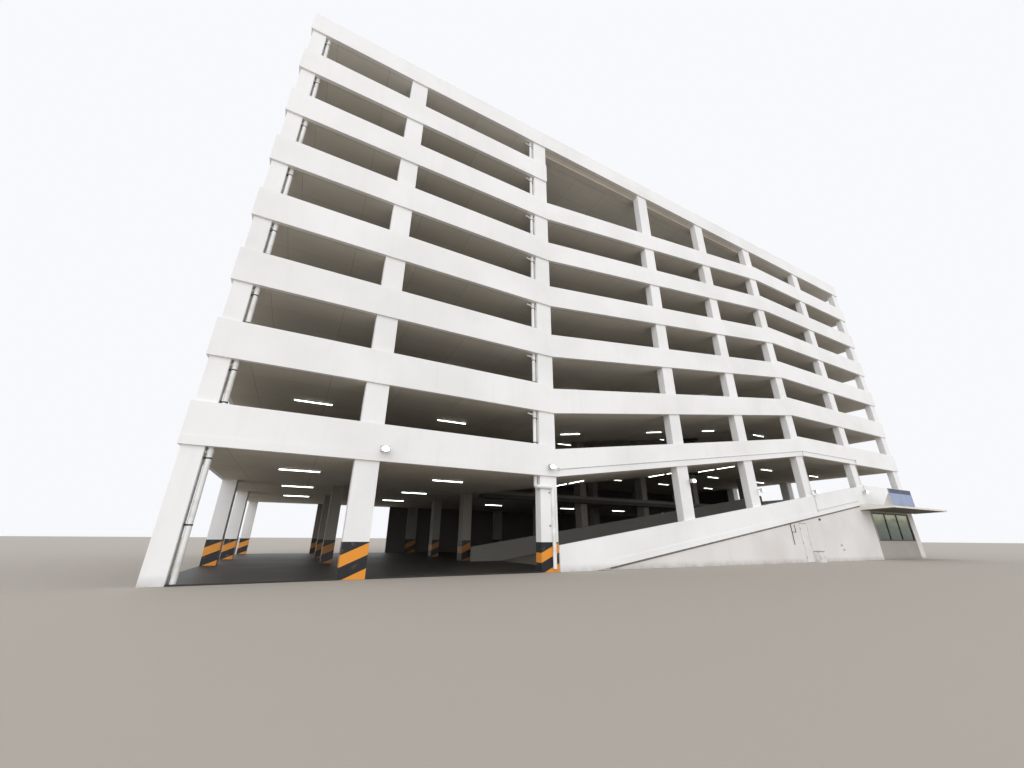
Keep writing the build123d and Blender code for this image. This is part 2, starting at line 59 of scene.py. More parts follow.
camera.matrix_world = Matrix.Translation(camera_place) @ camera_turn
camera.data.sensor_width = 36
camera.data.lens = 13.778
camera.data.clip_start = 0.05
camera.data.clip_end = 400
bpy.context.scene.camera = camera


# Floor and light. A plain pale floor under an even pale sky, with one very soft lamp high in
# front and to the left, so that the sides of the columns that face left are nearly as bright.
def linear(code):
    """Linear colour of an sRGB hex code."""
    parts = [int(code[i:i + 2], 16) / 255 for i in (1, 3, 5)]
    return [c / 12.92 if c <= 0.04045 else ((c + 0.055) / 1.055) ** 2.4 for c in parts] + [1.0]


def add_node(tree, kind, inputs=None, stops=(), **settings):
    """Adds a node. An input is a value, or another node's socket, which is linked to it."""
    node = tree.nodes.new("ShaderNode" + kind)
    for name, value in settings.items():
        setattr(node, name, value)
    for name, value in (inputs or {}).items():
        if isinstance(value, bpy.types.NodeSocket):
            tree.links.new(value, node.inputs[name])
        else:
            node.inputs[name].default_value = value
    for place, (at, code) in enumerate(stops):
        elements = node.color_ramp.elements
        element = elements[place] if place < 2 else elements.new(at)
        element.position = at
        element.color = linear(code)
    return node


def new_material(name):
    """Empty material and its node tree."""
    made = bpy.data.materials.new(name)
    made.use_nodes = True
    made.node_tree.nodes.clear()
    return made, made.node_tree


def close_material(tree, inputs):
    """Principled surface with these inputs, joined to the output."""
    surface = add_node(tree, "BsdfPrincipled", inputs)
    add_node(tree, "OutputMaterial", {"Surface": surface.outputs[0]})


studio_floor, tree = new_material("studio_floor")
close_material(tree, {"Base Color": linear("#ADA69C"), "Roughness": 0.9})
bpy.ops.mesh.primitive_plane_add(size=500, location=(0, 0, -0.002))
floor = bpy.context.object
floor.name = "studio_floor"
floor.data.materials.append(studio_floor)

sky = bpy.data.worlds.new("pale_sky")
sky.use_nodes = True
sky.node_tree.nodes["Background"].inputs["Color"].default_value = linear("#F8F9FC")
sky.node_tree.nodes["Background"].inputs["Strength"].default_value = 1.0
bpy.context.scene.world = sky

bpy.ops.object.light_add(type="SUN", location=(-24, -30, 20))
lamp = bpy.context.object
lamp.name = "soft_front_lamp"
lamp.data.energy = 1.18
lamp.data.angle = math.radians(60)
lamp.rotation_euler = Vector((20, 30, -14)).to_track_quat("-Z", "Y").to_euler()
bpy.context.scene.view_settings.view_transform = "Standard"


# White concrete: columns, parapet bands and inner parapets. Cast, rendered smooth and rolled
# with white masonry paint. It is matt, a little uneven from coat to coat, with faint rain
# runs down from the tops and grey splashes at the foot.
def dress(material, *node_names):
    """Gives solids of the building one finish."""
    for name in node_names:
        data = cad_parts[name].data
        data.materials.clear()
        data.materials.append(material)


def hall_shade_mask(tree, place, span, reach=11.0):
    """1 between two planes across the depth and as far out to each end as the reach, else 0."""
    middle, half = (span[0] + span[1]) / 2, (span[1] - span[0]) / 2
    ends = add_node(tree, "SeparateXYZ", {"Vector": place})
    across = add_node(tree, "Math", {0: ends.outputs["Y"], 1: middle, 2: half}, operation="COMPARE")
    along = add_node(tree, "Math", {0: ends.outputs["X"], 1: 0.0, 2: reach}, operation="COMPARE")
    return add_node(
        tree, "Math", {0: across.outputs[0], 1: along.outputs[0]}, operation="MULTIPLY").outputs[0]


def masonry_paint(
        name, clean, worn, run_strength, shade_span=(0.0, 0.0), bare_steel_and_shade="#85817A", shade_reach=11.0, under=None):
    """Matt paint on rendered concrete. It is a darker grey between two planes across the depth, as far
    out to each end as a given reach, which is painted shade of the hall inside the building, and has
    other colours under a sloping line, given with the line's slope and its height at 0."""
    made, tree = new_material(name)
    place = add_node(tree, "TexCoord").outputs["Object"]
    # Coats of the roller differ over about 1.5 m.
    coats = add_node(tree, "TexNoise", {"Vector": place, "Scale": 0.65, "Detail": 4.0})
    coat = add_node(tree, "ValToRGB", {"Fac": coats.outputs["Fac"]}, stops=((0.34, worn), (0.6, clean)))
    coat_colour = coat.outputs["Color"]
    ends = add_node(tree, "SeparateXYZ", {"Vector": place})
    if under:
        under_clean, under_worn, slope, height_at_zero = under
        line = add_node(
            tree, "Math", {0: ends.outputs["X"], 1: slope, 2: height_at_zero}, operation="MULTIPLY_ADD")
        over = add_node(tree, "Math", {0: ends.outputs["Z"], 1: line.outputs[0]}, operation="GREATER_THAN")
        dull = add_node(
            tree, "ValToRGB", {"Fac": coats.outputs["Fac"]}, stops=((0.34, under_worn), (0.6, under_clean)))
        coat_colour = add_node(
            tree, "Mix", {0: over.outputs[0], 6: dull.outputs["Color"], 7: coat_colour},
            data_type="RGBA").outputs[2]
    # Rain runs are about 150 mm wide and ten times as tall.
    tall = add_node(tree, "Mapping", {"Vector": place, "Scale": (7.0, 7.0, 0.6)})
    runs = add_node(tree, "TexNoise", {"Vector": tall.outputs[0], "Scale": 1.0, "Detail": 5.0})
    run = add_node(tree, "MapRange", {
        "Value": runs.outputs["Fac"], "From Min": 0.55, "From Max": 0.8, "To Max": run_strength})
    stained = add_node(
        tree, "Mix", {0: run.outputs[0], 6: coat_colour, 7: linear("#A8A69C")}, data_type="RGBA")
    # Splashes reach 140 mm up from the ground.
    low = add_node(tree, "MapRange", {
        "Value": ends.outputs["Z"], "From Min": 0.0, "From Max": 0.14, "To Min": 0.9, "To Max": 0.0})
    spots = add_node(tree, "TexNoise", {"Vector": place, "Scale": 5.0, "Detail": 6.0})
    splash = add_node(tree, "Math", {0: low.outputs[0], 1: spots.outputs["Fac"]}, operation="MULTIPLY")
    footed = add_node(
        tree, "Mix", {0: splash.outputs[0], 6: stained.outputs[2], 7: linear("#8C877C")}, data_type="RGBA")
    # Inside the building the paint takes a darker grey: painted shade of the hall.
    inside = hall_shade_mask(tree, place, shade_span, shade_reach)
    finish = add_node(tree, "Mix", {0: inside, 6: footed.outputs[2], 7: linear(bare_steel_and_shade)}, data_type="RGBA")
    # The grain is 30 mm, coarser than real render, so that it shows at all.
    grain = add_node(tree, "TexNoise", {"Vector": place, "Scale": 33.0, "Detail": 3.0})
    bump = add_node(tree, "Bump", {"Height": grain.outputs["Fac"], "Strength": 0.15, "Distance": 0.004})
    close_material(tree, {
        "Base Color": finish.outputs[2], "Roughness": 0.82, "Normal": bump.outputs[0]})
    return made


clean_white, worn_white, faint_runs = "#F4F4F4", "#EBEBEA", 0.07
# Spans of the hall across the depth, where the paints take a darker grey as painted shade.
hall_shade_span, inner_column_shade_span = (-4.6, 4.6), (-4.6, 5.45)
white_paint = masonry_paint("white_masonry_paint", clean_white, worn_white, faint_runs)
bands = ["ground_ramp_parapet", "roof_parapet_front", "left_parapets", "right_parapets", "rear_parapets"]
bands += [f"front_parapet_{level}" for level in range(1, 8)]
upper_columns = [f"columns_level_{level}" for level in range(1, 8)]
dress(white_paint, *bands)
# Inside the hall the upper columns take a darker grey: painted shade.
column_paint = masonry_paint(
    "column_masonry_paint", clean_white, worn_white, faint_runs, shade_span=inner_column_shade_span)
dress(column_paint, *upper_columns)


# Edge strips. The edge of the first deck's slab and of the ground ramp's slab stands a few
# millimetres in front of the parapet above it, and is painted over with it.
def draw_out(section, runs):
    """Draws the flat section out along straight runs, one after the other, into a closed solid."""
    bpy.ops.object.mode_set(mode="EDIT")
    bpy.ops.mesh.select_all(action="SELECT")
    for run in runs:
        bpy.ops.mesh.extrude_region_move(TRANSFORM_OT_translate={"value": run})
    bpy.ops.mesh.select_all(action="SELECT")
    bpy.ops.mesh.normals_make_consistent(inside=False)
    bpy.ops.object.mode_set(mode="OBJECT")
    return section


def joined(parts):
    """Makes one object of its parts and leaves it selected."""
    bpy.ops.object.select_all(action="DESELECT")
    for part in parts:
        part.select_set(True)
    bpy.context.view_layer.objects.active = parts[0]
    if len(parts) > 1:
        bpy.ops.object.join()
    return bpy.context.object


def fix_to_building(name, parts, material, body="structure"):
    """Makes one piece of its parts, with its place in its mesh, paints it and lets it ride."""
    piece = joined(parts)
    bpy.ops.object.transform_apply(location=True, rotation=True, scale=True)
    piece.name = name
    piece.data.materials.clear()
    piece.data.materials.append(material)
    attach(piece, body)
    bpy.ops.object.select_all(action="DESELECT")
    return piece


def upright_section(x, y, z, depth, height):
    """Flat upright rectangle across the building's front, with its lower front corner at a point."""
    bpy.ops.mesh.primitive_plane_add(size=1, rotation=(0, math.pi / 2, 0))
    section = bpy.context.object
    section.scale = (height, depth, 1)
    section.location = (x, y + depth / 2, z + height / 2)
    bpy.ops.object.transform_apply(location=True, rotation=True, scale=True)
    return section


column_x = (-11.37775, -8.97975, -5.34975, -1.21475, 1.65025, 4.50825, 7.97825, 11.33025)
front_y = -5.6
left_x, right_x = -11.55775, 11.55775
ramp_start_x, ramp_end_x = -5.14975, 4.70825
first_deck_top, storey, slab = 1.925, 1.4, 0.1
first_band_low = first_deck_top - slab
strip_height, strip_depth, strip_proud = 0.14, 0.02, 0.006
strip_y = front_y - strip_proud
first_strip = draw_out(
    upright_section(left_x, strip_y, first_band_low, strip_depth, strip_height),
    ((ramp_start_x - left_x, 0, 0), (ramp_end_x - ramp_start_x, 0, storey), (right_x - ramp_end_x, 0, 0)))
ground_ramp_foot_x = ramp_start_x + 0.508
ground_ramp_end_x = column_x[6] + 0.2
ground_floor_top = 0.02
ground_ramp_slope = (first_deck_top - ground_floor_top) / (ground_ramp_end_x - ground_ramp_foot_x)
canopy_left_x = ground_ramp_end_x - 0.65


def ground_ramp_underside(x):
    """Height of the ground ramp's underside line."""
    return ground_floor_top - 0.075 + (x - ground_ramp_foot_x) * ground_ramp_slope


strip_start_x = ground_ramp_foot_x + 0.78
ramp_strip_length = canopy_left_x - strip_start_x
ramp_strip_run = (ramp_strip_length, 0, ramp_strip_length * ground_ramp_slope)
ramp_strip = draw_out(
    upright_section(strip_start_x, strip_y, ground_ramp_underside(strip_start_x), strip_depth, strip_height),
    (ramp_strip_run,))
fix_to_building("deck_edge_strips", [first_strip, ramp_strip], white_paint)


# Dark strip on the wall under the ground ramp's edge: painted shadow of the slab edge over it. Dark mastic
# closes it against the wall below.
ramp_shadow_paint, tree = new_material("dark_strip_painted_shadow")
place = add_node(tree, "TexCoord").outputs["Object"]
shadow_tone_noise = add_node(tree, "TexNoise", {"Vector": place, "Scale": 12.0, "Detail": 4.0})
shadow_tone = add_node(
    tree, "ValToRGB", {"Fac": shadow_tone_noise.outputs["Fac"]}, stops=((0.35, "#6B6560"), (0.65, "#8A847E")))
close_material(tree, {"Base Color": shadow_tone.outputs["Color"], "Roughness": 0.7})
shadow_strip_height, shadow_strip_depth, shadow_strip_set_back = 0.045, 0.012, 0.03
shadow_strip_low = ground_ramp_underside(strip_start_x) - shadow_strip_height
shadow_strip = draw_out(
    upright_section(strip_start_x, front_y + shadow_strip_set_back, shadow_strip_low, shadow_strip_depth, shadow_strip_height),
    (ramp_strip_run,))
fix_to_building("ramp_edge_painted_shadow", [shadow_strip], ramp_shadow_paint)


# Decks, ramps and beams. Cast in place on plywood sheets of 1.22 by 2.44 m, which leave faint
# joints and a change of tone from sheet to sheet. Bare, a warm dull grey, lighter on top.
def bare_concrete(name, light, dark, top_light, top_dark):
    """Concrete as it left the forms, with a floated upper face."""
    made, tree = new_material(name)
    place = add_node(tree, "TexCoord").outputs["Object"]
    sheets = add_node(tree, "TexBrick", {
        "Vector": place, "Color1": linear(light), "Color2": linear(dark), "Mortar": linear("#6A655B"),
        "Scale": 1.0, "Mortar Size": 0.004, "Mortar Smooth": 0.4, "Bias": -0.3,
        "Brick Width": 1.22, "Row Height": 0.61}, offset=0.0)
    clouds = add_node(tree, "TexNoise", {"Vector": place, "Scale": 1.3, "Detail": 6.0})
    cloud = add_node(tree, "ValToRGB", {"Fac": clouds.outputs["Fac"]}, stops=((0.3, dark), (0.7, light)))
    below = add_node(
        tree, "Mix", {0: 0.45, 6: sheets.outputs["Color"], 7: cloud.outputs["Color"]}, data_type="RGBA")
    # Use darkens the upper face in patches of about a metre.
    wear = add_node(tree, "TexNoise", {"Vector": place, "Scale": 0.9, "Detail": 7.0})
    above = add_node(
        tree, "ValToRGB", {"Fac": wear.outputs["Fac"]}, stops=((0.35, top_dark), (0.65, top_light)))
    facing = add_node(tree, "SeparateXYZ", {"Vector": add_node(tree, "NewGeometry").outputs["Normal"]})
    up = add_node(tree, "Math", {0: facing.outputs["Z"], 1: 0.5}, operation="GREATER_THAN")
    colour = add_node(
        tree, "Mix", {0: up.outputs[0], 6: below.outputs[2], 7: above.outputs["Color"]}, data_type="RGBA")
    # Upright faces, the edges of the slabs, are a darker grey.
    upright = add_node(tree, "Math", {0: facing.outputs["Z"], 1: 0.0, 2: 0.5}, operation="COMPARE")
    edged = add_node(
        tree, "Mix", {0: upright.outputs[0], 6: colour.outputs[2], 7: linear("#66625A")}, data_type="RGBA")
    pores = add_node(tree, "TexNoise", {"Vector": place, "Scale": 26.0, "Detail": 4.0})
    bump = add_node(tree, "Bump", {"Height": pores.outputs["Fac"], "Strength": 0.2, "Distance": 0.004})
    close_material(tree, {
        "Base Color": edged.outputs[2], "Roughness": 0.85, "Normal": bump.outputs[0]})
    return made


deck_concrete = bare_concrete("fair_faced_concrete", "#D8D1C5", "#C9C2B6", "#8A867D", "#77726A")
# The upper decks, the upper ramps and the roof take lighter copies of this concrete: painted light on their
# undersides, which get more daylight.
upper_concrete_painted_light = bare_concrete("upper_fair_faced_concrete_painted_light", "#DED8CD", "#D0C9BE", "#A19D94", "#8E8A81")
roof_concrete_painted_light = bare_concrete("roof_fair_faced_concrete_painted_light", "#F3EFE7", "#E6E1D8", "#A9A69E", "#8F8B82")
dress(deck_concrete, "deck_1", "deck_2", "ramp_0")
dress(upper_concrete_painted_light, *[f"deck_{level}" for level in range(3, 8)], "upper_ramps")
dress(roof_concrete_painted_light, "roof_slab")
# Inside the hall the edge beams take a near-black grey: painted shade.
beam_paint = masonry_paint(
    "beam_masonry_paint", "#E2DCD2", "#D4CEC4", faint_runs, shade_span=hall_shade_span, bare_steel_and_shade="#3E3B37")
dress(beam_paint, "edge_beams")


# Inner parapets of the ramps and the walls at the back. Rendered and painted white, and inside
# the building a dark grey, darkest on the rear walls: painted shade of the hall.
parapet_render = masonry_paint(
    "cement_render_painted_shade", clean_white, worn_white, faint_runs, shade_span=hall_shade_span, bare_steel_and_shade="#7B7872")
dress(parapet_render, "ramp_inner_parapets")
rear_render = masonry_paint(
    "rear_render_painted_shade", clean_white, worn_white, faint_runs,
    shade_span=(-5.52, 5.52), bare_steel_and_shade="#524F4A", shade_reach=11.48)
dress(rear_render, "rear_walls")


# Ground floor. Power-floated concrete, half polished by use, so that the light of the open sides
# and of the tubes lies on it as a dull sheen. Its near-black grey is painted shade of the hall.
ground_floor_painted_shade, tree = new_material("power_floated_concrete_painted_shade")
place = add_node(tree, "TexCoord").outputs["Object"]
tracks = add_node(tree, "TexNoise", {"Vector": place, "Scale": 0.8, "Detail": 7.0})
track = add_node(
    tree, "ValToRGB", {"Fac": tracks.outputs["Fac"]}, stops=((0.35, "#242220"), (0.68, "#38352F")))
polish = add_node(tree, "MapRange", {"Value": tracks.outputs["Fac"], "To Min": 0.4, "To Max": 0.65})
close_material(tree, {"Base Color": track.outputs["Color"], "Roughness": polish.outputs[0]})
dress(ground_floor_painted_shade, "ground_floor")


# Warning stripes at the feet of the ground columns. Black and orange road enamel brushed on
# the concrete, in broad bands that rise to the right across the front and stay level round
# the sides. Scuffed through in places.
stripe_top = 0.54
stripe_thickness = 0.002
stripe_slope, stripe_shift = 0.45, 0.11
stripe_pair_height, orange_height = 0.372, 0.176
row_y = (-5.46, -1.275, 1.575, 5.46)
row_depths = (0.2, 0.35, 0.35, 0.2)
end_column_widths, front_column_width, inner_column_width = {0: 0.28, 7: 0.375}, 0.4, 0.25
inner_column_shift, entrance_inner_shift = 0.075, 0.15
street_foot, hall_foot = 0.002, ground_floor_top + 0.001

stripe_enamel, tree = new_material("brushed_road_enamel")
wrap = add_node(tree, "SeparateXYZ", {"Vector": add_node(tree, "UVMap", uv_map="wrap").outputs[0]})
rise = add_node(tree, "Math", {0: wrap.outputs["X"], 1: stripe_slope}, operation="MULTIPLY")
level = add_node(tree, "Math", {0: wrap.outputs["Y"], 1: rise.outputs[0]}, operation="SUBTRACT")
turn = add_node(tree, "Math", {0: level.outputs[0], 1: stripe_shift}, operation="ADD")
phase = add_node(tree, "Math", {0: turn.outputs[0], 1: stripe_pair_height}, operation="FLOORED_MODULO")
orange_part = add_node(tree, "Math", {0: phase.outputs[0], 1: orange_height}, operation="LESS_THAN")
painted = add_node(
    tree, "Mix", {0: orange_part.outputs[0], 6: linear("#1A1C20"), 7: linear("#E8962A")}, data_type="RGBA")
place = add_node(tree, "TexCoord").outputs["Object"]
scuffs = add_node(tree, "TexNoise", {"Vector": place, "Scale": 9.0, "Detail": 8.0})
scuff = add_node(tree, "MapRange", {
    "Value": scuffs.outputs["Fac"], "From Min": 0.6, "From Max": 0.75, "To Max": 0.35})
worn = add_node(
    tree, "Mix", {0: scuff.outputs[0], 6: painted.outputs[2], 7: linear("#8B8175")}, data_type="RGBA")
# Inside the building the stripes turn a dark brown-grey: painted shade of the hall.
stripe_shade_share = 0.62
inside = hall_shade_mask(tree, place, inner_column_shade_span)
dust_and_shade = add_node(tree, "Math", {0: inside, 1: stripe_shade_share}, operation="MULTIPLY")
shaded_stripes = add_node(
    tree, "Mix", {0: dust_and_shade.outputs[0], 6: worn.outputs[2], 7: linear("#35302B")}, data_type="RGBA")
close_material(tree, {"Base Color": shaded_stripes.outputs[2], "Roughness": 0.45})

sleeves = []
for number, x in enumerate(column_x):
    for y, depth in zip(row_y, row_depths):
        in_ramp_wall = y == row_y[0] and number > 2
        if in_ramp_wall:
            continue
        width, middle_x = end_column_widths.get(number, front_column_width), x
        if y in row_y[1:3] and number not in end_column_widths:
            width = inner_column_width
            middle_x -= entrance_inner_shift if number == 2 else inner_column_shift
        width += 2 * stripe_thickness
        foot = street_foot if y == row_y[0] else hall_foot
        bpy.ops.mesh.primitive_cube_add(size=1)
        sleeve = bpy.context.object
        sleeve.scale = (width, depth + 2 * stripe_thickness, stripe_top - foot)
        sleeve.location = (middle_x, y, (foot + stripe_top) / 2)
        bpy.ops.object.transform_apply(location=True, rotation=True, scale=True)
        bpy.ops.object.mode_set(mode="EDIT")
        bpy.ops.mesh.select_all(action="DESELECT")
        bpy.ops.object.mode_set(mode="OBJECT")
        for face in sleeve.data.polygons:
            face.select = abs(face.normal.z) > 0.5
        bpy.ops.object.mode_set(mode="EDIT")
        bpy.ops.mesh.select_mode(type="FACE")
        bpy.ops.mesh.delete(type="FACE")
        bpy.ops.object.mode_set(mode="OBJECT")
        shell = sleeve.modifiers.new("paint", "SOLIDIFY")
        shell.thickness = stripe_thickness * 0.9
        shell.offset = -1
        bpy.ops.object.modifier_apply(modifier="paint")
        sleeve.data.uv_layers[0].name = "wrap"
        for loop in sleeve.data.loops:
            point = sleeve.data.vertices[loop.vertex_index].co
            sleeve.data.uv_layers[0].data[loop.index].uv = (point.x - middle_x, point.z)
        sleeves.append(sleeve)
fix_to_building("column_stripes", sleeves, stripe_enamel)


# Wall under the ground ramp, with the piece of it over the door. Block wall, rendered and
# painted in the same white, greyer here because it is touched and splashed.
clean_wall, worn_wall, wall_runs = "#E6E3E1", "#DAD6D3", 0.12
wall_paint = masonry_paint("wall_masonry_paint", clean_wall, worn_wall, wall_runs)
dress(wall_paint, "ramp_wall", "service_door_lintel")
# The ground columns have the wall's tone below the ramp's slab, and the white above it. Inside
# the hall they take a darker grey: painted shade.
tone_line_at_zero = 0.1 - ground_ramp_foot_x * ground_ramp_slope
ground_column_paint = masonry_paint(
    "ground_column_masonry_paint", clean_white, worn_white, faint_runs, shade_span=inner_column_shade_span,
    under=(clean_wall, worn_wall, ground_ramp_slope, tone_line_at_zero))
dress(ground_column_paint, "columns_ground")


# Service door, its frame and hinges. Pressed steel sheet, sprayed with white enamel that is
# satin and slightly dusty, with bare steel on the lever and the knuckles.
def sprayed_enamel(name, colour, metal_in_front):
    """Satin enamel on steel sheet. What stands in front of a plane is bare steel."""
    made, tree = new_material(name)
    place = add_node(tree, "TexCoord").outputs["Object"]
    dust_and_shade = add_node(tree, "TexNoise", {"Vector": place, "Scale": 4.0, "Detail": 6.0})
    tone = add_node(tree, "ValToRGB", {"Fac": dust_and_shade.outputs["Fac"]}, stops=((0.3, "#D9D8D4"), (0.6, colour)))
    forward = add_node(tree, "SeparateXYZ", {"Vector": place}).outputs["Y"]
    bare_steel_and_shade = add_node(tree, "Math", {0: forward, 1: metal_in_front}, operation="LESS_THAN")
    colour_mix = add_node(
        tree, "Mix", {0: bare_steel_and_shade.outputs[0], 6: tone.outputs["Color"], 7: linear("#8E8F90")}, data_type="RGBA")
    close_material(tree, {
        "Base Color": colour_mix.outputs[2], "Metallic": bare_steel_and_shade.outputs[0], "Roughness": 0.42})
    return made


wall_front_y = -5.56
bare_steel_y = wall_front_y - 0.004
door_enamel = sprayed_enamel("sprayed_steel_enamel", "#E4E4E2", bare_steel_y)
dress(door_enamel, "service_door")
frame_enamel = sprayed_enamel("sprayed_frame_enamel", "#BDBBB7", bare_steel_y)
dress(frame_enamel, "service_door_frame")


# Cabinet at the foot of the wall. Folded steel sheet with a white body and a grey-green lid
# that stands out a little over it.
lid_low = 0.2955
cabinet_finish, tree = new_material("folded_cabinet_sheet")
place = add_node(tree, "TexCoord").outputs["Object"]
height = add_node(tree, "SeparateXYZ", {"Vector": place}).outputs["Z"]
lid = add_node(tree, "Math", {0: height, 1: lid_low}, operation="GREATER_THAN")
rust = add_node(tree, "TexNoise", {"Vector": place, "Scale": 11.0, "Detail": 8.0})
body_tone = add_node(
    tree, "ValToRGB", {"Fac": rust.outputs["Fac"]}, stops=((0.3, "#B9B5AA"), (0.5, "#DEDEDB")))
cabinet_tone = add_node(
    tree, "Mix", {0: lid.outputs[0], 6: body_tone.outputs["Color"], 7: linear("#7F8A80")}, data_type="RGBA")
close_material(tree, {"Base Color": cabinet_tone.outputs[2], "Roughness": 0.5})
dress(cabinet_finish, "wall_cabinet")


# Fittings on the wall: a dark conduit beside the door with its short rail, a bracket under the
# ramp and two taps low on the right. All of steel, painted dark and screwed to the render.
def break_edges(part, edge):
    """Bevels every edge of the active part, as folded sheet, castings and mouldings have them."""
    bpy.ops.object.mode_set(mode="EDIT")
    bpy.ops.mesh.select_all(action="SELECT")
    bpy.ops.mesh.bevel(offset=edge, segments=1)
    bpy.ops.object.mode_set(mode="OBJECT")
    return part


def edged_block(size, place, edge):
    """Block with its edges broken."""
    bpy.ops.mesh.primitive_cube_add(size=1)
    made = bpy.context.object
    made.scale = size
    made.location = place
    bpy.ops.object.transform_apply(location=True, rotation=True, scale=True)
    return break_edges(made, edge)


def conduit_run(start, runs, radius, upright=False):
    """Round conduit drawn out along straight runs from a start point."""
    turn = (0, 0, 0) if upright else (0, math.pi / 2, 0)
    bpy.ops.mesh.primitive_circle_add(
        vertices=8, radius=radius, fill_type="NGON", location=start, rotation=turn)
    section = bpy.context.object
    bpy.ops.object.transform_apply(location=True, rotation=True, scale=True)
    return draw_out(section, runs)


dark_steel, tree = new_material("dark_painted_steel")
place = add_node(tree, "TexCoord").outputs["Object"]
patches = add_node(tree, "TexNoise", {"Vector": place, "Scale": 18.0, "Detail": 4.0})
patch = add_node(
    tree, "ValToRGB", {"Fac": patches.outputs["Fac"]}, stops=((0.35, "#2C2D2D"), (0.65, "#474642")))
close_material(tree, {"Base Color": patch.outputs["Color"], "Roughness": 0.5})

riser_x, riser_y, riser_foot, riser_length, riser_radius = 3.05, wall_front_y - 0.011, 0.485, 0.585, 0.009
rail_z, rail_length, rail_rise, rail_radius = 0.83, 0.2, 0.2, 0.007
bracket_size, bracket_x, bracket_z, bracket_edge = (0.045, 0.04, 0.06), 4.70, 1.215, 0.004
tap_size, tap_places, tap_edge = (0.05, 0.03, 0.02), ((5.62, 0.47), (5.70, 0.33)), 0.003
fittings = [
    conduit_run((riser_x, riser_y, riser_foot), ((0, 0, riser_length),), riser_radius, upright=True),
    conduit_run((riser_x, riser_y, rail_z), ((rail_length, 0, 0),), rail_radius),
    conduit_run((riser_x + rail_length, riser_y, rail_z), ((0, 0, rail_rise),), rail_radius, upright=True),
    edged_block(bracket_size, (bracket_x, wall_front_y - bracket_size[1] / 2, bracket_z), bracket_edge),
]
for x, z in tap_places:
    fittings.append(edged_block(tap_size, (x, wall_front_y - tap_size[1] / 2, z), tap_edge))
fix_to_building("wall_fittings", fittings, dark_steel)


# Covers of the two junction boxes on the entrance column. Round lids of moulded grey plastic,
# pressed on over boxes that are sunk in the render.
def round_block(radius, depth, place, edge, vertices=16, rotation=(0, 0, 0)):
    """Short cylinder with its edges broken."""
    bpy.ops.mesh.primitive_cylinder_add(
        vertices=vertices, radius=radius, depth=depth, location=place, rotation=rotation)
    return break_edges(bpy.context.object, edge)


cover_plastic, tree = new_material("grey_moulded_plastic")
place = add_node(tree, "TexCoord").outputs["Object"]
grime = add_node(tree, "TexNoise", {"Vector": place, "Scale": 25.0, "Detail": 3.0})
grey = add_node(tree, "ValToRGB", {"Fac": grime.outputs["Fac"]}, stops=((0.35, "#8F8E8B"), (0.65, "#A9A8A4")))
close_material(tree, {"Base Color": grey.outputs["Color"], "Roughness": 0.5})
cover_radius, cover_depth, cover_edge = 0.022, 0.014, 0.003
cover_x, cover_y, cover_heights = -5.335, wall_front_y - cover_depth / 2, (1.49, 0.845)
covers = [
    round_block(
        cover_radius, cover_depth, (cover_x, cover_y, z), cover_edge, vertices=20,
        rotation=(math.pi / 2, 0, 0))
    for z in cover_heights]
fix_to_building("junction_covers", covers, cover_plastic)


# Shop walls. Blockwork between the corner's columns, rendered and rolled with a cream masonry
# paint, shown in a grey much duller than the white of the bands: painted shade of the canopy.
shop_paint_painted_shade = masonry_paint("cream_masonry_paint_painted_shade", "#A9A49D", "#9B968F", 0.15)
dress(shop_paint_painted_shade, "shop_walls")


# Shop window. Powder-coated aluminium frame, nearly black, and panes of tinted float glass
# that show the lit ceiling at their tops and green shade lower down.
frame_coat, tree = new_material("dark_powder_coat")
place = add_node(tree, "TexCoord").outputs["Object"]
specks = add_node(tree, "TexNoise", {"Vector": place, "Scale": 40.0, "Detail": 2.0})
speck = add_node(tree, "ValToRGB", {"Fac": specks.outputs["Fac"]}, stops=((0.4, "#171B1A"), (0.6, "#232827")))
close_material(tree, {"Base Color": speck.outputs["Color"], "Roughness": 0.4})
dress(frame_coat, "shop_window_frame")

glass_low, glass_high = 0.64, 1.5
tinted_glass, tree = new_material("tinted_float_glass")
place = add_node(tree, "TexCoord").outputs["Object"]
height = add_node(tree, "SeparateXYZ", {"Vector": place}).outputs["Z"]
climb = add_node(tree, "MapRange", {"Value": height, "From Min": glass_low, "From Max": glass_high})
wide = add_node(tree, "Mapping", {"Vector": place, "Scale": (1.1, 1.0, 3.2)})
shapes = add_node(tree, "TexNoise", {"Vector": wide.outputs[0], "Scale": 1.4, "Detail": 1.0})
shift = add_node(tree, "MapRange", {"Value": shapes.outputs["Fac"], "To Min": -0.16, "To Max": 0.16})
mixed = add_node(tree, "Math", {0: climb.outputs[0], 1: shift.outputs[0]}, operation="ADD")
shade = add_node(tree, "ValToRGB", {"Fac": mixed.outputs[0]}, stops=(
    (0.0, "#2A322A"), (0.5, "#4F5B44"), (0.78, "#838E66"), (0.96, "#D3D9AE")))
close_material(tree, {"Base Color": shade.outputs["Color"], "Roughness": 0.08, "Specular IOR Level": 0.2})
dress(tinted_glass, "shop_window_glass")


# Canopy over the shop. A cast concrete wedge, painted cream on top and on its edges. Its
# underside is a dark grey: painted shade.
canopy_paint, tree = new_material("canopy_masonry_paint")
place = add_node(tree, "TexCoord").outputs["Object"]
weather = add_node(tree, "TexNoise", {"Vector": place, "Scale": 1.8, "Detail": 7.0})
cream = add_node(
    tree, "ValToRGB", {"Fac": weather.outputs["Fac"]}, stops=((0.35, "#D9D5C9"), (0.65, "#EBE8DF")))
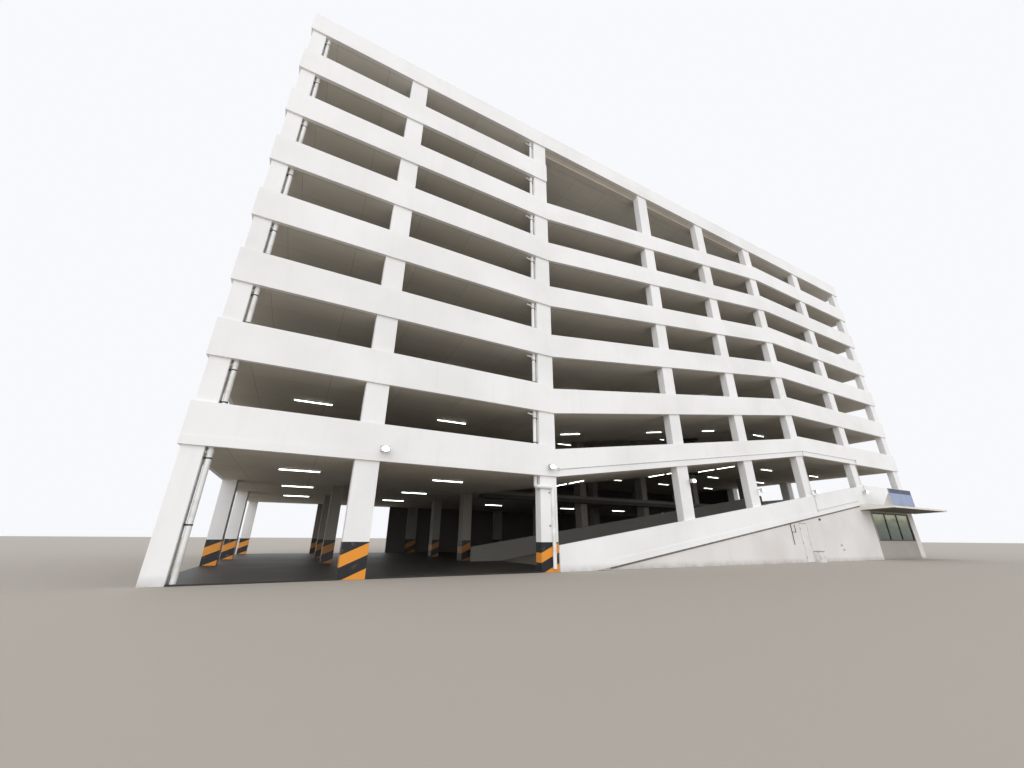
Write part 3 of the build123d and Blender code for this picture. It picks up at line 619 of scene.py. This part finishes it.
# Dark grey of the underside: painted shade.
bare_steel_and_shade = add_node(
    tree, "ValToRGB", {"Fac": weather.outputs["Fac"]}, stops=((0.35, "#56534D"), (0.65, "#68645C")))
facing = add_node(tree, "SeparateXYZ", {"Vector": add_node(tree, "NewGeometry").outputs["Normal"]})
below = add_node(tree, "Math", {0: facing.outputs["Z"], 1: -0.5}, operation="LESS_THAN")
canopy_tone = add_node(
    tree, "Mix", {0: below.outputs[0], 6: cream.outputs["Color"], 7: bare_steel_and_shade.outputs["Color"]}, data_type="RGBA")
close_material(tree, {"Base Color": canopy_tone.outputs[2], "Roughness": 0.8})
dress(canopy_paint, "shop_canopy")


# Sign on the canopy's front edge. A bare board of folded sheet, with a dark blue strip along
# the top of a pale blue field, on white steel struts. A thin folded trim runs round it.
sign_sheet, tree = new_material("stove_enamelled_sheet")
place = add_node(tree, "TexCoord").outputs["Object"]
parts = add_node(tree, "SeparateXYZ", {"Vector": place})
sign_top, header_height, face_back_y = 2.25, 0.15, -6.492
header = add_node(
    tree, "Math", {0: parts.outputs["Z"], 1: sign_top - header_height}, operation="GREATER_THAN")
fading = add_node(tree, "TexNoise", {"Vector": place, "Scale": 2.2, "Detail": 5.0})
field = add_node(tree, "ValToRGB", {"Fac": fading.outputs["Fac"]}, stops=((0.3, "#7F90B8"), (0.7, "#98A7C8")))
two_tone = add_node(
    tree, "Mix", {0: header.outputs[0], 6: field.outputs["Color"], 7: linear("#1F2A55")}, data_type="RGBA")
behind = add_node(tree, "Math", {0: parts.outputs["Y"], 1: face_back_y}, operation="GREATER_THAN")
sheet = add_node(
    tree, "Mix", {0: behind.outputs[0], 6: two_tone.outputs[2], 7: linear("#DCDCDA")}, data_type="RGBA")
close_material(tree, {"Base Color": sheet.outputs[2], "Roughness": 0.35})
dress(sign_sheet, "shop_sign")

trim_finish, tree = new_material("mill_finish_aluminium")
place = add_node(tree, "TexCoord").outputs["Object"]
drawn = add_node(tree, "TexNoise", {"Vector": place, "Scale": 30.0, "Detail": 3.0})
tarnish = add_node(
    tree, "ValToRGB", {"Fac": drawn.outputs["Fac"]}, stops=((0.35, "#A9ABAC"), (0.65, "#C6C8C9")))
close_material(tree, {"Base Color": tarnish.outputs["Color"], "Metallic": 1.0, "Roughness": 0.4})
sign_left, sign_right, sign_low = canopy_left_x, 9.15775, 1.7
sign_middle_x, sign_length = (sign_left + sign_right) / 2, sign_right - sign_left
trim_y, trim_width, trim_depth, trim_edge, upright_length = -6.503, 0.012, 0.008, 0.002, 0.52
level_size, upright_size = (sign_length, trim_depth, trim_width), (trim_width, trim_depth, upright_length)
trim = [
    edged_block(level_size, (sign_middle_x, trim_y, sign_top - trim_width / 2), trim_edge),
    edged_block(level_size, (sign_middle_x, trim_y, sign_low + 0.02), trim_edge)]
for x in (sign_left + trim_width / 2, sign_middle_x, sign_right - trim_width / 2):
    trim.append(edged_block(upright_size, (x, trim_y, (sign_low + sign_top) / 2), trim_edge))
fix_to_building("sign_trim", trim, trim_finish)


# Rainwater pipes. White PVC in lengths of one storey, held to the column by a steel clamp near
# the parapet and another near the ceiling, with a short branch from each deck's outlet.
pipe_plastic, tree = new_material("white_extruded_pvc")
place = add_node(tree, "TexCoord").outputs["Object"]
marks = add_node(tree, "TexNoise", {"Vector": place, "Scale": 3.0, "Detail": 6.0})
mark = add_node(tree, "ValToRGB", {"Fac": marks.outputs["Fac"]}, stops=((0.32, "#DAD9D4"), (0.5, "#F1F1F0")))
close_material(tree, {"Base Color": mark.outputs["Color"], "Roughness": 0.38})
dress(pipe_plastic, "rainwater_pipes")

pipe_radius, pipe_gap, parapet_thickness, parapet_gap = 0.038, 0.03, 0.075, 0.007
pipe_y = front_y + parapet_thickness + parapet_gap + pipe_radius
pipe_lines = (
    column_x[0] + end_column_widths[0] / 2 + pipe_gap + pipe_radius,
    column_x[2] - front_column_width / 2 - pipe_gap - pipe_radius)
front_run_x, front_run_y = column_x[2] + 0.08, wall_front_y - pipe_radius


clamp_wall, clamp_height, clamp_edge = 0.004, 0.022, 0.003
stud_size, stud_shift = (0.05, 0.024, 0.03), pipe_radius + 0.014
ground_clamp_z, low_clamp_rise, high_clamp_drop = 0.75, 0.6, 0.16
socket_wall, socket_height, socket_edge, socket_drop, front_socket_z = 0.005, 0.05, 0.002, 0.06, 0.32
branch_start, branch_run, branch_radius = (-0.16, 0.02, -0.05), (0.15, 0, -0.025), 0.02


def clamp_at(x, y, z, towards_column):
    """Two-part steel clamp round a pipe, with a stud to the column on one side."""
    band = round_block(pipe_radius + clamp_wall, clamp_height, (x, y, z), clamp_edge)
    return [band, edged_block(stud_size, (x + towards_column * stud_shift, y, z), clamp_edge)]


def socket_at(x, y, z):
    """Thicker end of a pipe length, pushed over the next."""
    return round_block(pipe_radius + socket_wall, socket_height, (x, y, z), socket_edge)


clamps, branches = [], []
for line_number, x in enumerate(pipe_lines):
    towards_column = 1 if line_number else -1
    for level in range(8):
        floor_top = ground_floor_top if level == 0 else first_deck_top + (level - 1) * storey
        ceiling = first_deck_top + level * storey - slab
        if level == 0 and line_number == 1:
            continue
        low_clamp_z = ground_clamp_z if level == 0 else floor_top + low_clamp_rise
        clamps += clamp_at(x, pipe_y, low_clamp_z, towards_column)
        clamps += clamp_at(x, pipe_y, ceiling - high_clamp_drop, towards_column)
        outlet = (x + branch_start[0], pipe_y + branch_start[1], ceiling + branch_start[2])
        branches.append(conduit_run(outlet, (branch_run,), branch_radius))
        branches.append(socket_at(x, pipe_y, ceiling - socket_drop))
branches.append(socket_at(front_run_x, front_run_y, front_socket_z))
fix_to_building("pipe_clamps", clamps, dark_steel)
fix_to_building("pipe_branches", branches, pipe_plastic)


# Conduits along the front. Grey plastic conduit clipped above the edge of the first deck, from
# the entrance column's lamp to the last lamp, with two drops and one run along the ground ramp.
conduit_plastic, tree = new_material("grey_rigid_conduit")
place = add_node(tree, "TexCoord").outputs["Object"]
chalks = add_node(tree, "TexNoise", {"Vector": place, "Scale": 8.0, "Detail": 4.0})
chalk = add_node(
    tree, "ValToRGB", {"Fac": chalks.outputs["Fac"]}, stops=((0.35, "#C4C3BF"), (0.65, "#DAD9D6")))
close_material(tree, {"Base Color": chalk.outputs["Color"], "Roughness": 0.55})

conduit_radius, conduit_rise, jog_height = 0.009, 0.155, 0.03
band_run_y = front_y - strip_proud - conduit_radius
column_run_y = wall_front_y - conduit_radius
upper_slope = storey / (ramp_end_x - ramp_start_x)
band_start = (-5.12, band_run_y, first_band_low + conduit_rise)
last_drop_x = ground_ramp_end_x - 0.03
high_z = band_start[2] + (ramp_end_x - band_start[0]) * upper_slope
middle_drop_x = column_x[5] + 0.17
middle_drop_z = band_start[2] + (middle_drop_x - band_start[0]) * upper_slope
middle_foot_z = ground_ramp_underside(middle_drop_x) + conduit_rise
jog = band_run_y - column_run_y
last_run_length = canopy_left_x - middle_drop_x
band_runs = ((ramp_end_x - band_start[0], 0, high_z - band_start[2]), (last_drop_x - ramp_end_x, 0, 0))
ramp_run = ((last_run_length, 0, last_run_length * ground_ramp_slope),)


def drop_over_column(on_band, on_column, on_parapet):
    """Runs of a drop that steps back onto the column between two parapets, and out again."""
    return (
        (0, 0, -on_band), (0, -jog, -jog_height), (0, 0, -on_column), (0, jog, -jog_height),
        (0, 0, -on_parapet))


last_drop = drop_over_column(0.19, 0.62, 0.32)
middle_on_band, middle_on_column = 0.18, 1.17
middle_on_parapet = middle_drop_z - middle_foot_z - middle_on_band - middle_on_column - 2 * jog_height
middle_drop = drop_over_column(middle_on_band, middle_on_column, middle_on_parapet)
conduits = [
    conduit_run(band_start, band_runs, conduit_radius),
    conduit_run((last_drop_x, band_run_y, high_z), last_drop, conduit_radius, upright=True),
    conduit_run((middle_drop_x, band_run_y, middle_drop_z), middle_drop, conduit_radius, upright=True),
    conduit_run((middle_drop_x, band_run_y, middle_foot_z), ramp_run, conduit_radius),
]
box_size, box_y, box_edge = (0.06, 0.03, 0.06), front_y - strip_proud - 0.014, 0.005
for x, z in ((band_start[0], band_start[2]), (last_drop_x, high_z), (middle_drop_x, middle_foot_z)):
    conduits.append(edged_block(box_size, (x, box_y, z), box_edge))
fix_to_building("front_conduits", conduits, conduit_plastic)


# Floodlights. Die-cast heads on square arms, painted pale grey, each with an oval glass in a
# rim, lit.
head_paint, tree = new_material("die_cast_grey_enamel")
place = add_node(tree, "TexCoord").outputs["Object"]
soots = add_node(tree, "TexNoise", {"Vector": place, "Scale": 14.0, "Detail": 3.0})
soot = add_node(tree, "ValToRGB", {"Fac": soots.outputs["Fac"]}, stops=((0.35, "#A7A8A6"), (0.65, "#CDCDCA")))
close_material(tree, {"Base Color": soot.outputs["Color"], "Roughness": 0.45})
dress(head_paint, "floodlights")

lit_glass, tree = new_material("lit_lamp_glass")
close_material(tree, {
    "Base Color": linear("#F4F3EA"), "Roughness": 0.2,
    "Emission Color": linear("#FFFBEA"), "Emission Strength": 6.0})
lamp_offsets = (0.245, 0.02, 0.175, 0.19, 0.19, 0.055)
lamp_rises = (0.123, 0.102, 0.105, 0.033, 0.151, 0.331)
arm_reach, head_depth, head_drop = 0.07, 0.06, 0.03
glass_size, rim_scale = (0.13, 0.04, 0.084), (0.138, 0.092, 0.12)
lenses, rims = [], []
for number, (offset, rise) in enumerate(zip(lamp_offsets, lamp_rises), start=1):
    x = column_x[number] + offset
    centre = (x, front_y - arm_reach - head_depth, first_deck_top + rise - head_drop)
    bpy.ops.mesh.primitive_uv_sphere_add(segments=20, ring_count=10, radius=0.5, location=centre)
    lens = bpy.context.object
    lens.scale = glass_size
    lenses.append(lens)
    bpy.ops.mesh.primitive_torus_add(
        major_segments=20, minor_segments=6, major_radius=0.5, minor_radius=0.05, location=centre,
        rotation=(math.pi / 2, 0, 0))
    rim = bpy.context.object
    rim.scale = rim_scale
    rims.append(rim)
fix_to_building("floodlight_rims", rims, head_paint)
fix_to_building("floodlight_glasses", lenses, lit_glass)


# Tube lights under the decks. White steel trays with an end cap at each end and one bare tube,
# in three rows under the decks, one to a bay under the ramps, and pairs across the lowest one.
tray_enamel, tree = new_material("white_tray_enamel")
place = add_node(tree, "TexCoord").outputs["Object"]
films = add_node(tree, "TexNoise", {"Vector": place, "Scale": 5.0, "Detail": 3.0})
film = add_node(tree, "ValToRGB", {"Fac": films.outputs["Fac"]}, stops=((0.35, "#CFCFCA"), (0.65, "#E6E6E3")))
close_material(tree, {"Base Color": film.outputs["Color"], "Roughness": 0.4})
tube_glow, tree = new_material("lit_tube_glass")
close_material(tree, {
    "Base Color": linear("#F4F6F2"), "Roughness": 0.3,
    "Emission Color": linear("#F6FBF4"), "Emission Strength": 6.0})

fitting_length, tray_width, tray_height, tray_edge = 0.74, 0.05, 0.012, 0.002
cap_size, cap_z, cap_edge = (0.014, 0.03, 0.03), -0.021, 0.003
tube_radius, tube_length, tube_z = 0.009, fitting_length - 0.03, -0.0225


def light_fitting():
    """Tray and tube of one fitting, under the ceiling at the origin, along X."""
    parts = [edged_block((fitting_length, tray_width, tray_height), (0, 0, -tray_height / 2), tray_edge)]
    for side in (-1, 1):
        cap_x = side * (fitting_length - cap_size[0]) / 2
        parts.append(edged_block(cap_size, (cap_x, 0, cap_z), cap_edge))
    tray = joined(parts)
    bpy.ops.mesh.primitive_cylinder_add(
        vertices=8, radius=tube_radius, depth=tube_length, location=(0, 0, tube_z),
        rotation=(0, math.pi / 2, 0))
    tube = bpy.context.object
    bpy.ops.object.transform_apply(location=True, rotation=True, scale=True)
    return tray, tube


def copies_at(model, places):
    """Copies of a modelled part, each with its own mesh, turned and placed."""
    made = []
    for x, y, z, turn, roll, pitch in places:
        copy = model.copy()
        copy.data = model.data.copy()
        tilted = Matrix.Rotation(roll, 4, "X") @ Matrix.Rotation(pitch, 4, "Y")
        copy.matrix_world = Matrix.Translation((x, y, z)) @ Matrix.Rotation(turn, 4, "Z") @ tilted
        bpy.context.collection.objects.link(copy)
        made.append(copy)
    bpy.data.objects.remove(model)
    return made


tube_shift = 0.2
entrance_row_y, ramp_row_y, middle_row_y, rear_row_y = -3.85, -3.3, -0.9, 1.95
deck_front_y = -1.75
pair_places_x, pair_rows_y = (-2.89975, 1.25025, 4.00025), (-3.25, -2.42)
fitting_places = []
for level in range(8):
    ceiling = first_deck_top + level * storey - slab
    strip_end = ground_ramp_end_x if level == 0 else ramp_end_x
    for bay in range(7):
        x = (column_x[bay] + column_x[bay + 1]) / 2 + tube_shift
        for y in (entrance_row_y if bay < 2 else ramp_row_y, middle_row_y, rear_row_y):
            over_ramps = y < deck_front_y and level < 7 and ramp_start_x < x < strip_end
            if not over_ramps:
                fitting_places.append((x, y, ceiling, 0, 0, 0))
slope_turn = math.atan(upper_slope)
for level in range(2, 7):
    for bay in (2, 3, 4):
        x = (column_x[bay] + column_x[bay + 1]) / 2 + tube_shift
        ceiling = first_band_low + (level - 1) * storey + (x - ramp_start_x) * upper_slope
        fitting_places.append((x, ramp_row_y, ceiling, 0, 0, -slope_turn))
for x in pair_places_x:
    for y in pair_rows_y:
        ceiling = first_band_low + (x - ramp_start_x) * upper_slope
        fitting_places.append((x, y, ceiling, math.pi / 2, -slope_turn, 0))
tray, tube = light_fitting()
trays = fix_to_building("light_trays", copies_at(tray, fitting_places), tray_enamel)
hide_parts("tube_lights")
fix_to_building("light_tubes", copies_at(tube, fitting_places), tube_glow)
